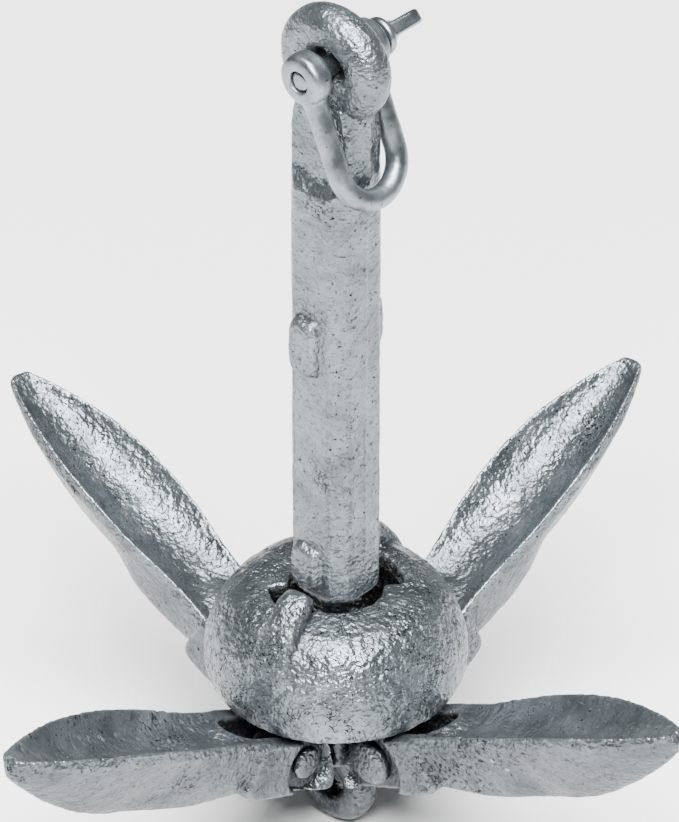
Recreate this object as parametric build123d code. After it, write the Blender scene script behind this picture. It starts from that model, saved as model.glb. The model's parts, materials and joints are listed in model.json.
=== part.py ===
from build123d import *
import math
import os

# Folding grapnel anchor, hot-dip galvanised, about 1.5 kg, open with its flukes locked out.
# Frame: +Z up along the shank, origin at the centre of the eye at the shank's head.
# The eye's hole runs along Y. Flukes 1 to 4 point along +X, +Y, -X and -Y. Millimetres.

# ---- shank ----
EYE_TO_HINGE = 213.5  # eye centre down to the plane of the four fluke pins
SHANK_HALF_X = 10.8  # octagonal bar, half width across the X flats
SHANK_HALF_Y = 10.0  # half width across the Y flats
SHANK_HALF_DIAGONAL = 11.8  # half width across the slanted flats
BAR_FOOT = 45.4  # bar's lower end above the hinge plane
BAR_CHAMFER = 1.5
NECK_RADIUS = 9.0  # round neck that the collar drops past
EYE_RING_RADIUS = 10.7  # centre line of the eye's ring
EYE_WIRE_RADIUS = 5.8
EYE_BORE_RADIUS = 5.6
CHEEK_HALF = 6.2  # the bar is cut back to this half width under the eye, to let the shackle hang
CHEEK_RADIUS = 35.0  # reach of the cut, measured from the eye's centre
TRIP_EYE_DROP = 21.7  # tripping eye's centre below the hinge plane
TRIP_RING_RADIUS = 9.2
TRIP_WIRE_RADIUS = 4.8
TRIP_BORE_RADIUS = 4.7
LUG_REACH = 14.0  # stop lugs on the bar's Y flats, measured from the shank's axis
LUG_HALF_WIDTH = 4.2
LUG_OFFSET = 1.0  # each lug stands a little off the middle of its flat
LUG_FILLET = 1.5
LOWER_LUG = (49.4, 62.4)  # heights above the hinge plane
UPPER_LUG = (120.2, 136.8)

# ---- cross head and fluke hinges ----
PIN_OFFSET = 22.0  # fluke pin's axis from the shank's axis
BLOCK_HALF = 12.0
BLOCK_HALF_HEIGHT = 8.0
BLOCK_FILLET = 2.0
FLARE_HEIGHT = 7.0  # cone from the block up to the neck
STEM = (17.0, 8.2, 8.0)  # block that carries the tripping eye
TONGUE_HALF = 5.8  # tongue between a fluke's prongs
TONGUE_END_RADIUS = 7.0
PIN_RADIUS = 3.3
PIN_RUNNING_GAP = 0.06

# ---- fluke ----
FLUKE_LENGTH = 116.8  # pin axis to tip
FLUKE_TILTS = (30.1, 29.3, 28.1, 28.1)  # degrees above horizontal when open, each on its own play
FORK_HALF = 6.4  # inside half width of the fork
FORK_DEPTH = 27.0  # pin axis to the fork's closed end
PRONG_OUTER = 12.2
PRONG_END_RADIUS = 8.2
PRONG_REACH = 27.0
PRONG_FLAT = 1.2  # taken off the root's upper side, clear of the collar's rim
RECESS_DEPTH = 3.2  # round recess that takes the pin's head or tail
HEAD_RECESS_RADIUS = 12.2
TAIL_RECESS_RADIUS = 8.8
WALL = 3.4

# distance along the fluke, half width, rim height, keel height, height of the dish's floor
FLUKE_STATIONS = [
    (17.0, 11.0, 7.2, -9.4, 0.0),
    (27.0, 10.2, 7.0, -11.6, 0.0),
    (42.0, 12.2, 7.1, -14.0, -0.2),
    (60.0, 14.0, 7.4, -16.4, -2.4),
    (78.0, 13.6, 6.7, -16.6, -3.4),
    (94.0, 10.8, 4.5, -13.6, -3.0),
    (107.0, 6.6, 2.2, -9.0, -1.2),
    (FLUKE_LENGTH, 2.0, 0.0, -4.2, 0.0),
]

# ---- fluke pins ----
HEAD_RADIUS = 7.0
HEAD_THICKNESS = 3.0
TAIL_RADIUS = 4.9
TAIL_THICKNESS = 2.2

# ---- collar ----
# outside of the bell from its rim up to the flat top, then the inside back down
BELL_OUTSIDE = [
    (32.0, 14.6),
    (35.5, 17.2),
    (36.4, 21.4),
    (35.8, 28.0),
    (33.2, 35.2),
    (29.2, 40.8),
    (24.4, 44.5),
]
BELL_INSIDE = [(20.5, 39.5), (26.0, 35.6), (29.6, 29.6), (31.0, 22.5), (30.6, 18.2), (28.4, 14.6)]
COLLAR_HOLE_RADIUS = 13.1
NOTCH_RADIUS = 18.6
NOTCH_CENTRE = -105.0  # degrees about Z, and its opposite
NOTCH_SPAN = 61.0
FINGER_CENTRES = (-81.0, 110.0)
FINGER_HALF_WIDTH = 5.0
FINGER_SIDE = [
    (29.5, 34.0),
    (31.2, 37.6),
    (26.5, 44.8),
    (21.5, 50.6),
    (17.5, 52.2),
    (15.6, 49.6),
    (19.4, 43.5),
]

# ---- shackle ----
SHACKLE_LEAN = 23.6  # degrees from straight down, towards +X, where the bow meets the bar
BOW_RADIUS = 11.1
BOW_STRAIGHT = 28.6
BOW_WIRE_RADIUS = 3.1
EAR_RADIUS = 7.3
EAR_HALF_THICKNESS = 3.2
SHACKLE_PIN_RADIUS = 3.0
SHOULDER_RADIUS = 5.5
SHOULDER_THICKNESS = 2.5
SHOULDER_GAP = 1.5
TAB_LENGTH = 12.4
TAB_HALF_WIDTH = 4.9
TAB_STEM_HALF_WIDTH = 3.7
TAB_THICKNESS = 3.2
TAB_HOLE_RADIUS = 1.9
TAB_TURN = 19.0  # degrees, how far the screwed-home tab has turned about the pin

THROUGH = 60.0  # length of a tool that passes right through a part
HINGE_Z = -EYE_TO_HINGE
ALONG_Y = Rotation(90, 0, 0)


def octagon():
    """Bar section: a rectangle with its corners cut by four slanted flats."""
    reach = SHANK_HALF_DIAGONAL * math.sqrt(2)
    cut_y = reach - SHANK_HALF_X
    cut_x = reach - SHANK_HALF_Y
    corners = [(SHANK_HALF_X, cut_y), (cut_x, SHANK_HALF_Y), (-cut_x, SHANK_HALF_Y), (-SHANK_HALF_X, cut_y)]
    corners += [(-x, -y) for x, y in corners]
    return make_face(Polyline(*corners, close=True))


def bar():
    """Octagonal bar from above the neck into the eye, chamfered at its foot."""
    length = EYE_TO_HINGE - BAR_FOOT - EYE_RING_RADIUS
    body = Pos(0, 0, HINGE_Z + BAR_FOOT) * extrude(octagon(), length)
    return chamfer(body.edges().group_by(Axis.Z)[0], BAR_CHAMFER)


def cheek_cuts():
    """Slabs that narrow the bar's Y flats beside the shackle's legs, with a rounded lower edge."""
    cuts = []
    for side in (1, -1):
        slab = ALONG_Y * Cylinder(CHEEK_RADIUS, SHANK_HALF_X)
        cuts.append(Pos(0, side * (CHEEK_HALF + SHANK_HALF_X / 2), 0) * slab)
    return cuts


def ring(centre_z, ring_radius, wire_radius, bore_radius):
    """Eye with its hole along Y: a round ring whose inside is opened to a straight bore."""
    eye = Pos(0, 0, centre_z) * ALONG_Y * Torus(ring_radius, wire_radius)
    return eye, Pos(0, 0, centre_z) * ALONG_Y * Cylinder(bore_radius, 4 * wire_radius)


def stop_lugs():
    """Two pairs of lugs on the bar's Y flats, below and above the collar's two homes."""
    lugs = []
    for low, high in (LOWER_LUG, UPPER_LUG):
        for side in (1, -1):
            lug = Box(2 * LUG_HALF_WIDTH, LUG_REACH, high - low)
            lug = fillet(lug.edges().filter_by(Axis.Z), LUG_FILLET)
            lugs.append(Pos(side * LUG_OFFSET, side * LUG_REACH / 2, HINGE_Z + (low + high) / 2) * lug)
    return lugs


def tongue(angle):
    """One of the four tongues of the cross head, with its pin hole."""
    length = PIN_OFFSET
    plate = Pos(length / 2, 0, 0) * Box(length, 2 * TONGUE_HALF, 2 * TONGUE_END_RADIUS)
    plate += Pos(PIN_OFFSET, 0, 0) * ALONG_Y * Cylinder(TONGUE_END_RADIUS, 2 * TONGUE_HALF)
    hole = Cylinder(PIN_RADIUS + PIN_RUNNING_GAP, 4 * TONGUE_HALF)
    plate -= Pos(PIN_OFFSET, 0, 0) * ALONG_Y * hole
    return Pos(0, 0, HINGE_Z) * Rotation(0, 0, angle) * plate


def shank():
    """Bar, neck, cross head, stop lugs and both eyes: one casting."""
    block = Box(2 * BLOCK_HALF, 2 * BLOCK_HALF, 2 * BLOCK_HALF_HEIGHT)
    block = fillet(block.edges().filter_by(Axis.Z), BLOCK_FILLET)
    body = bar()
    for cut in cheek_cuts():
        body -= cut
    body += Pos(0, 0, HINGE_Z) * block
    body += Pos(0, 0, HINGE_Z + BAR_FOOT / 2) * Cylinder(NECK_RADIUS, BAR_FOOT + 2 * BAR_CHAMFER)
    flare = Cone(BLOCK_HALF, NECK_RADIUS, FLARE_HEIGHT)
    body += Pos(0, 0, HINGE_Z + BLOCK_HALF_HEIGHT + FLARE_HEIGHT / 2) * flare
    for lug in stop_lugs():
        body += lug
    for turn in range(4):
        body += tongue(90 * turn)
    head_eye, head_bore = ring(0, EYE_RING_RADIUS, EYE_WIRE_RADIUS, EYE_BORE_RADIUS)
    trip_z = HINGE_Z - TRIP_EYE_DROP
    trip_eye, trip_bore = ring(trip_z, TRIP_RING_RADIUS, TRIP_WIRE_RADIUS, TRIP_BORE_RADIUS)
    stem = Pos(0, 0, HINGE_Z - BLOCK_HALF_HEIGHT - STEM[2] / 2 + 1) * Box(*STEM)
    body += head_eye + trip_eye + stem
    return body - head_bore - trip_bore


def fluke_plane(along):
    """Plane across the fluke at a distance from its pin: local x sideways, local y towards the shank."""
    return Plane(origin=(along, 0, 0), x_dir=(0, 1, 0), z_dir=(1, 0, 0))


def trough_section(along, half, rim, keel, side_drop, low_drop):
    """Flat-topped section whose sides slant in to a rounded keel."""
    depth = rim - keel
    side = (half * 0.93, rim - side_drop * depth)
    low_side = (half * 0.5, rim - low_drop * depth)
    near_side = [(half, rim), side, low_side, (0, keel)]
    far_side = [(-x, y) for x, y in reversed(near_side[:-1])]
    top = Line((-half, rim), (half, rim))
    return fluke_plane(along) * make_face([top, Spline(*near_side, *far_side)])


def palm():
    """Spoon-shaped palm: a lofted boat with its upper side dished to an even wall."""
    outer = loft([trough_section(*row[:4], 0.26, 0.7) for row in FLUKE_STATIONS])
    inner = []
    for along, half, rim, keel, floor in FLUKE_STATIONS[2:7]:
        inner.append(trough_section(along, half - 0.6 * WALL, rim + 0.4, floor, 0.3, 0.82))
    dish = loft(inner)
    return outer - dish


def prongs():
    """Solid root of the fluke, rounded about the pin, before the fork and the recesses are cut."""
    height = 2 * PRONG_END_RADIUS - PRONG_FLAT
    root = Pos(PRONG_REACH / 2, 0, -PRONG_FLAT / 2) * Box(PRONG_REACH, 2 * PRONG_OUTER, height)
    root += ALONG_Y * Cylinder(PRONG_END_RADIUS, 2 * PRONG_OUTER)
    return root


def fork_slot():
    """Open-ended slot between the prongs, with a round inner end."""
    straight = FORK_DEPTH - FORK_HALF
    length = straight + 2 * PRONG_END_RADIUS
    slot = Pos(straight - length / 2, 0, 0) * Box(length, 2 * FORK_HALF, THROUGH)
    return slot + Pos(straight, 0, 0) * Cylinder(FORK_HALF, THROUGH)


def fluke(number):
    """One fluke in its open position, turned to its own side of the shank."""
    body = palm() + prongs()
    body -= fork_slot()
    body -= ALONG_Y * Cylinder(PIN_RADIUS, THROUGH)
    for side, radius in ((-1, HEAD_RECESS_RADIUS), (1, TAIL_RECESS_RADIUS)):
        body -= Pos(0, side * PRONG_OUTER, 0) * ALONG_Y * Cylinder(radius, 2 * RECESS_DEPTH)
    return place_at_hinge(body, number)


def place_at_hinge(shape, number):
    """Tilts a part drawn along +X from its pin and moves it to the hinge of fluke 0, 1, 2 or 3."""
    tilt = Rotation(0, -FLUKE_TILTS[number], 0)
    return Rotation(0, 0, 90 * number) * Pos(PIN_OFFSET, 0, HINGE_Z) * tilt * shape


def fluke_pin(number):
    """Riveted pin: shaft, round head on one side and a peened tail on the other."""
    seat = PRONG_OUTER - RECESS_DEPTH
    pin = ALONG_Y * Cylinder(PIN_RADIUS, 2 * seat)
    head = ALONG_Y * Cylinder(HEAD_RADIUS, HEAD_THICKNESS)
    head = fillet(head.edges(), 0.9)
    tail = ALONG_Y * Cylinder(TAIL_RADIUS, TAIL_THICKNESS)
    tail = fillet(tail.edges(), 0.7)
    pin += Pos(0, -seat - HEAD_THICKNESS / 2, 0) * head
    pin += Pos(0, seat + TAIL_THICKNESS / 2, 0) * tail
    return place_at_hinge(pin, number)


def collar():
    """Sliding bell with a round hole, two notches for the stop lugs and two fingers."""
    top_z = BELL_OUTSIDE[-1][1]
    under_z = BELL_INSIDE[0][1]
    outside = Spline(*BELL_OUTSIDE[:-1])
    shoulder = Line(BELL_OUTSIDE[-2], BELL_OUTSIDE[-1])
    hole_edge = [(COLLAR_HOLE_RADIUS, top_z), (COLLAR_HOLE_RADIUS, under_z)]
    top = Polyline(BELL_OUTSIDE[-1], *hole_edge, BELL_INSIDE[0])
    inside = Spline(*BELL_INSIDE)
    rim = Line(BELL_INSIDE[-1], BELL_OUTSIDE[0])
    profile = Plane.XZ * make_face([outside, shoulder, top, inside, rim])
    bell = revolve(profile, Axis.Z)
    for centre in FINGER_CENTRES:
        bell += finger(centre)
    for centre in (NOTCH_CENTRE, NOTCH_CENTRE + 180):
        bell -= notch(centre)
    return Pos(0, 0, HINGE_Z) * bell


def notch(centre):
    """Sector cut out of the collar's top beside its hole."""
    half = math.radians(NOTCH_SPAN / 2)
    tip = (NOTCH_RADIUS * math.cos(half), NOTCH_RADIUS * math.sin(half))
    arc = ThreePointArc(tip, (NOTCH_RADIUS, 0), (tip[0], -tip[1]))
    sector = make_face([Line((0, 0), tip), arc, Line((tip[0], -tip[1]), (0, 0))])
    low, high = BELL_INSIDE[1][1], BELL_OUTSIDE[-1][1] + 4
    return Rotation(0, 0, centre) * Pos(0, 0, low) * extrude(sector, high - low)


def finger(centre):
    """Curved finger that stands on the bell's shoulder and leans over its top."""
    side = Plane.XZ * make_face(Polyline(*FINGER_SIDE, close=True))
    blade = extrude(side, FINGER_HALF_WIDTH, both=True)
    return Rotation(0, 0, centre) * blade


def shackle_place(shape):
    """Moves a part drawn hanging straight down from the pin into the shackle's rest position."""
    return Rotation(0, -SHACKLE_LEAN, 0) * shape


def shackle_bow():
    """Round-wire bow with an eye forged at each end."""
    inside_ear = -EAR_RADIUS / 2
    left = (0, -BOW_RADIUS, -BOW_STRAIGHT)
    right = (0, BOW_RADIUS, -BOW_STRAIGHT)
    path = Line((0, -BOW_RADIUS, inside_ear), left)
    path += ThreePointArc(left, (0, 0, -BOW_STRAIGHT - BOW_RADIUS), right)
    path += Line(right, (0, BOW_RADIUS, inside_ear))
    bow = sweep(Plane(path @ 0, z_dir=path % 0) * Circle(BOW_WIRE_RADIUS), path)
    for side in (1, -1):
        ear = ALONG_Y * Cylinder(EAR_RADIUS, 2 * EAR_HALF_THICKNESS)
        bow += Pos(0, side * BOW_RADIUS, 0) * fillet(ear.edges(), 1.2)
    bow -= ALONG_Y * Cylinder(SHACKLE_PIN_RADIUS + PIN_RUNNING_GAP, 60)
    return shackle_place(bow)


def shackle_pin():
    """Screw pin: shaft, shoulder and a flat tab with a hole, all in line."""
    ear_face = BOW_RADIUS + EAR_HALF_THICKNESS
    seat = ear_face + SHOULDER_GAP
    tab_start = seat + SHOULDER_THICKNESS
    pin = Pos(0, (seat - ear_face) / 2, 0) * ALONG_Y * Cylinder(SHACKLE_PIN_RADIUS, ear_face + seat)
    shoulder = ALONG_Y * Cylinder(SHOULDER_RADIUS, SHOULDER_THICKNESS)
    pin += Pos(0, seat + SHOULDER_THICKNESS / 2, 0) * fillet(shoulder.edges(), 0.8)
    tab_centre = tab_start + TAB_LENGTH - TAB_HALF_WIDTH
    flat = Pos(0, tab_centre, 0) * Cylinder(TAB_HALF_WIDTH, TAB_THICKNESS)
    stem = Box(2 * TAB_STEM_HALF_WIDTH, tab_centre - tab_start + SHOULDER_THICKNESS, TAB_THICKNESS)
    flat += Pos(0, (tab_start + tab_centre - SHOULDER_THICKNESS) / 2, 0) * stem
    flat -= Pos(0, tab_centre, 0) * Cylinder(TAB_HOLE_RADIUS, THROUGH)
    pin += Rotation(0, -TAB_TURN, 0) * flat
    return shackle_place(pin)


def write(shape, node):
    """Writes one node's solids."""
    export_step(shape, f"parts/{node}.step")


os.makedirs("parts", exist_ok=True)
write(shank(), "shank")
write(collar(), "locking_collar")
for number in range(4):
    write(fluke(number), f"fluke_{number + 1}")
    write(fluke_pin(number), f"fluke_pin_{number + 1}")
write(shackle_bow(), "shackle_bow")
write(shackle_pin(), "shackle_pin")
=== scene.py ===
import itertools
import json
import math

import bpy
import numpy as np
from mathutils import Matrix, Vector


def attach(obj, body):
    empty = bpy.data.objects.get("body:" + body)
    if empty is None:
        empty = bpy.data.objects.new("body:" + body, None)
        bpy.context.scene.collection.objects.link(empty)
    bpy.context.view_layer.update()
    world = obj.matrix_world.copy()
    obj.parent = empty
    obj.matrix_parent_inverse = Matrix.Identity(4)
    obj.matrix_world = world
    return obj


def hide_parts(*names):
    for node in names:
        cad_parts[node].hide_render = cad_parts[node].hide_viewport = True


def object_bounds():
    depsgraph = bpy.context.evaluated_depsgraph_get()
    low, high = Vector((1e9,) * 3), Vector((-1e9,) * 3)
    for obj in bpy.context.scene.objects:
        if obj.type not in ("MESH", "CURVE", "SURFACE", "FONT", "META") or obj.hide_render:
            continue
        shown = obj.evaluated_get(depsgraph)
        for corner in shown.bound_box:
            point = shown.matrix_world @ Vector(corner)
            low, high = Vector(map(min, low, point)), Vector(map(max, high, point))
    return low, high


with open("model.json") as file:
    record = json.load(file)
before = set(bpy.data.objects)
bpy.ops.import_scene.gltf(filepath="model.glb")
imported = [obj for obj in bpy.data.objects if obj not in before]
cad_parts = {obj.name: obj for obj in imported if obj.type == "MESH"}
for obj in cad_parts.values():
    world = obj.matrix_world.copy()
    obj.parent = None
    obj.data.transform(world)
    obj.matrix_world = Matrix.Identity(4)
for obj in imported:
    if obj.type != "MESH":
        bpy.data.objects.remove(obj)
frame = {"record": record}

bl_info = {
    "name": "Folding grapnel anchor",
    "version": (1, 0, 0),
    "blender": (4, 5, 0),
    "location": "View3D > Sidebar > Anchor",
    "description": "Builds the galvanised castings, rivet pins and shackle of a folding grapnel anchor",
    "category": "Mesh",
}

# Shapes are worked out in millimetres in the frame of the solids, and meshes are stored in metres.
MM = 0.001
CAD_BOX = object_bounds()
JOINTS = {joint["name"]: joint for joint in frame["record"]["behaviour"]["joints"]}
HINGE_Z = JOINTS["fluke_1_fold"]["pos_m"][2] / MM
PIN_OFFSET = JOINTS["fluke_1_fold"]["pos_m"][0] / MM
HASH_PRIMES = (73856093, 19349663, 83492791)
VOXEL_SCALE = 1.0

# ---- shank, heights above the hinge plane unless they say otherwise ----
BAR_FOOT = 45.4
BAR_REACH = {"x": 10.8, "y": 10.0, "slant": 11.75}
CHEEK_HALF = 6.8
CHEEK_RADIUS = 35.0
# height, reach of the flats, reach of the slants
NECK_ROWS = [
    (-8.2, 11.2, 14.6),
    (-7.2, 12.0, 15.8),
    (7.0, 12.0, 15.8),
    (9.0, 11.6, 14.4),
    (15.0, 9.3, 9.5),
    (49.0, 9.0, 9.0),
]
EYE_RING_X, EYE_RING_Z, EYE_WIRE = 11.6, 10.3, 6.0
TRIP_DROP, TRIP_RING, TRIP_WIRE = 21.7, 9.1, 4.7
TONGUE_HALF, TONGUE_END, TONGUE_HOLE = 5.75, 7.0, 3.4
LUG_ROWS = [(49.4, 62.4), (120.2, 136.8)]
LUG_SIZE = (4.9, 4.6, 0.5)  # half width, half depth, rise of each end past its row
LUG_OFFSET = 1.0
LUG_DEPTHS = (8.3, 9.0)  # out from the axis to the middle of the lower and the upper lugs
SEAM_HEIGHT, SEAM_WIDTH, SEAM_OFFSET = 0.42, 0.55, 0.4
SHANK_DETAIL, COLLAR_DETAIL, RIVET_DETAIL = 1.22, 1.12, 1.2  # cells over the set size

# ---- fluke, along its own axis from the pin ----
FLUKE_TILTS = (30.1, 29.3, 28.1, 28.1)
FORK_HALF = 6.45
PRONG_OUTER = 12.2
HEAD_RECESS, TAIL_RECESS, RECESS_DEPTH = 12.2, 8.6, 3.2
SLOT_START = 21.5
PRONG_REACH = (25.0, 6.9, 9.0, 8.6)  # from the pin to the prong's root, top, end and heel
PRONG_HOLE, PRONG_EDGE = 3.35, 1.6
RIVET_SHAFT = 3.0
# distance from the pin, half width, rim height, keel height, dish depth
FLUKE_ROWS = [
    (SLOT_START, 11.7, 6.8, -9.4, 0.4),
    (25.0, 11.5, 6.8, -10.4, 1.4),
    (31.0, 11.3, 6.8, -11.8, 2.8),
    (42.0, 12.2, 7.0, -14.2, 4.8),
    (52.0, 13.6, 7.2, -16.2, 6.4),
    (62.0, 14.2, 7.2, -17.4, 7.5),
    (72.0, 14.2, 6.9, -17.6, 7.8),
    (82.0, 13.4, 6.1, -16.6, 7.3),
    (92.0, 11.6, 4.8, -14.2, 6.2),
    (101.0, 9.1, 3.3, -11.3, 4.4),
    (108.0, 6.6, 2.0, -8.6, 2.6),
    (113.0, 4.4, 0.9, -6.2, 0.8),
    (115.6, 2.5, 0.0, -4.4, 0.1),
    (116.7, 0.0, -2.1, -2.1, 0.0),
]

# ---- collar, radius and height above the hinge plane ----
BELL_OUTSIDE = [
    (31.6, 14.8),
    (34.2, 15.6),
    (35.7, 18.0),
    (36.3, 21.6),
    (35.9, 27.4),
    (34.2, 33.0),
    (31.4, 38.0),
    (27.8, 41.9),
    (24.0, 43.9),
]
BELL_INSIDE = [
    (20.0, 39.6),
    (23.6, 37.6),
    (27.0, 34.0),
    (29.4, 29.6),
    (30.8, 23.0),
    (30.2, 18.4),
    (28.7, 15.2),
]
BELL_TOP, BELL_UNDER = 44.4, 39.6
HOLE_RADIUS, NOTCH_RADIUS = 13.1, 18.6
NOTCH_CENTRE, NOTCH_HALF = -105.0, 30.0
FINGER_CENTRES = (-81.0, 110.0)
# radius, height, half width, half thickness
FINGER_ROWS = [
    (31.0, 22.0, 2.0, 0.8),
    (33.4, 28.0, 5.4, 1.8),
    (32.6, 33.6, 6.4, 3.0),
    (29.2, 39.4, 6.0, 3.6),
    (25.2, 44.6, 5.2, 3.7),
    (21.4, 48.2, 4.9, 3.4),
    (18.4, 49.6, 4.5, 3.0),
    (16.4, 49.8, 3.4, 2.0),
    (15.5, 49.8, 0.3, 0.3),
]

# ---- shackle ----
SHACKLE_LEAN = 23.6
BOW_RADIUS, BOW_STRAIGHT, BOW_WIRE = 10.5, 27.9, 3.08
EAR_CENTRE, EAR_RADIUS, EAR_HALF, EAR_HOLE = 10.9, 7.25, 3.35, 3.1
SHOULDER_GAP = 1.5
PIN_SHAFT = 2.95
TAB_HALF, TAB_HOLE, TAB_LENGTH = 4.9, 1.9, 12.3
TAB_ROOT_HALF, TAB_THICK_HALF, TAB_EDGE = 3.6, 2.1, 1.1
TAB_TURN = 19.0

# ---- stage, in metres and degrees ----
CAMERA_AZIMUTH, CAMERA_ELEVATION = -46.6, 37.9
CAMERA_LENS = 298.5
AIM_RISE, AIM_RIGHT = 0.1024, 0.00095
FLOOR_HALF, FLOOR_GAP = 6.0, 0.0005
SKY_COLOUR, SKY_STRENGTH = (0.95, 0.98, 1.0, 1.0), 0.14
# name, distance ahead of the hinge, height above it, size, watts
LAMPS = [
    ("overhead", 0.3, 1.6, (1.1, 1.1), 108),
    ("front", 1.1, 1.4, (0.8, 0.45), 66),
]
COLUMN_STEP, ROW_STEP = 320, -330  # between the nodes of a material, in the node editor


class AnchorShape(bpy.types.PropertyGroup):
    """Sizes that a user would change."""

    casting_voxel: bpy.props.FloatProperty(
        name="Casting detail", description="Size of the cells that weld the castings' shells",
        default=0.00046, min=0.0002, max=0.003, unit="LENGTH")
    forging_voxel: bpy.props.FloatProperty(
        name="Forging detail", description="Size of the cells that weld the shackle's shells",
        default=0.00028, min=0.0001, max=0.002, unit="LENGTH")
    lumpiness: bpy.props.FloatProperty(
        name="Zinc lumps", description="Height of the uneven zinc coat on the castings",
        default=0.00013, min=0.0, max=0.001, unit="LENGTH")
    camera_distance: bpy.props.FloatProperty(
        name="Camera distance", description="From the cross head's centre to the camera",
        default=1.893, min=0.5, max=10.0, unit="LENGTH")


class AnchorFinish(bpy.types.PropertyGroup):
    """Colours that a user would change."""

    zinc_light: bpy.props.FloatVectorProperty(
        name="Light zinc", description="Clean zinc coat", subtype="COLOR", size=4,
        default=(0.172, 0.193, 0.209, 1.0), min=0.0, max=1.0)
    zinc_dark: bpy.props.FloatVectorProperty(
        name="Dark zinc", description="Dull patches of the zinc coat", subtype="COLOR", size=4,
        default=(0.096, 0.11, 0.12, 1.0), min=0.0, max=1.0)
    # This colour is for dross, pits and spots, and it is also the colour of the painted shade in hollows,
    # gaps and on undersides.
    stain_and_shade: bpy.props.FloatVectorProperty(
        name="Stain", description="Dross, pits and bare spots", subtype="COLOR", size=4,
        default=(0.010, 0.011, 0.012, 1.0), min=0.0, max=1.0)
    plated: bpy.props.FloatVectorProperty(
        name="Plated steel", description="Smooth zinc on the shackle", subtype="COLOR", size=4,
        default=(0.235, 0.262, 0.282, 1.0), min=0.0, max=1.0)


# ---------------------------------------------------------------- surfaces
def ease(low, high, value):
    """Smooth step from 0 at low to 1 at high: 3t^2 - 2t^3."""
    t = np.clip((value - low) / (high - low), 0.0, 1.0)
    return t * t * (3 - 2 * t)


def lattice_noise(points, cell, seed):
    """Smooth random field from -1 to 1: a cubic lattice holds random values, and a point blends the
    eight values round it with eased weights."""
    table = np.random.default_rng(seed).uniform(-1, 1, 4096)
    scaled = points / cell
    corner = np.floor(scaled).astype(np.int64)
    part = scaled - corner
    part = part * part * (3 - 2 * part)
    total = np.zeros(len(points))
    for step in itertools.product((0, 1), repeat=3):
        keys = (corner + step) * HASH_PRIMES
        key = (keys[:, 0] ^ keys[:, 1] ^ keys[:, 2]) % len(table)
        weight = np.where(np.array(step) == 1, part, 1 - part).prod(axis=1)
        total += weight * table[key]
    return total


def soft_polygon(angle, facing, reach, sharpness=26.0):
    """Radius at each angle of a polygon with rounded corners: flats face the given directions at the
    given reach, and the radius is the p-norm blend of the distances to all the flats."""
    ray = np.clip(np.cos(angle[..., None] - facing), 1e-6, None) / reach
    return (ray ** sharpness).sum(axis=-1) ** (-1 / sharpness)


def smooth_rows(rows, count):
    """Rows of a table resampled evenly in their first value, along cubic Hermite curves whose slopes
    come from the neighbouring rows."""
    table = np.array(rows, float)
    knots = table[:, 0]
    slopes = np.gradient(table, knots, axis=0)
    at = np.linspace(knots[0], knots[-1], count)
    left = np.clip(np.searchsorted(knots, at, side="right") - 1, 0, len(knots) - 2)
    span = (knots[left + 1] - knots[left])[:, None]
    t = (at - knots[left])[:, None] / span
    value = (2 * t ** 3 - 3 * t ** 2 + 1) * table[left] + (t ** 3 - 2 * t ** 2 + t) * span * slopes[left]
    value += (3 * t ** 2 - 2 * t ** 3) * table[left + 1] + (t ** 3 - t ** 2) * span * slopes[left + 1]
    value[:, 0] = at
    return value


def smooth_path(points, count):
    """Points of a path resampled evenly by chord length on the same Hermite curves."""
    points = np.array(points, float)
    run = np.r_[0, np.cumsum(np.linalg.norm(np.diff(points[:, :2], axis=0), axis=1))]
    return smooth_rows(np.c_[run, points], count)[:, 1:]


def ring_caps(grid):
    """Adds a ring drawn in to its centre at both ends of a grid of rings, which closes its ends."""
    first = np.repeat(grid[:1].mean(axis=1, keepdims=True), grid.shape[1], axis=1)
    last = np.repeat(grid[-1:].mean(axis=1, keepdims=True), grid.shape[1], axis=1)
    return np.concatenate([first, grid, last])


def grid_faces(rows, columns, rows_wrap):
    """Quads of a grid whose columns wrap round, and whose rows wrap too if asked."""
    row = np.arange(rows if rows_wrap else rows - 1)[:, None]
    column = np.arange(columns)[None, :]
    next_row = (row + 1) % rows
    next_column = (column + 1) % columns
    corners = [row * columns + column, row * columns + next_column]
    corners += [next_row * columns + next_column, next_row * columns + column]
    return np.stack(corners, axis=-1).reshape(-1, 4)


def capped(grid):
    """Shell from a grid of rings, closed at both ends."""
    grid = ring_caps(grid)
    return grid.reshape(-1, 3), grid_faces(grid.shape[0], grid.shape[1], False)


def looped(grid):
    """Shell from a grid that wraps both ways, as a ring does."""
    return grid.reshape(-1, 3), grid_faces(grid.shape[0], grid.shape[1], True)


def torus(centre_z, half_x, half_z, wire_radius):
    """Ring whose hole runs along Y: a circle of the wire's radius carried round an ellipse in XZ."""
    around = np.linspace(0, math.tau, 160, endpoint=False)[:, None]
    across = np.linspace(0, math.tau, 64, endpoint=False)[None, :]
    x = (half_x + wire_radius * np.cos(across)) * np.cos(around)
    y = wire_radius * np.sin(across) + 0 * around
    z = centre_z + (half_z + wire_radius * np.cos(across)) * np.sin(around)
    return looped(np.stack([x, y, z], axis=-1))


def turned(profile, centre=(0.0, 0.0, 0.0), columns=96):
    """Surface of revolution about an axis along Y: each (radius, y) of the profile goes round a circle."""
    angle = np.linspace(0, math.tau, columns, endpoint=False)[None, :]
    radius, along = np.array(profile, float).T[:, :, None]
    x = centre[0] + radius * np.cos(angle)
    y = centre[1] + along + 0 * angle
    z = centre[2] + radius * np.sin(angle)
    return np.stack([x, y, z], axis=-1)


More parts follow.
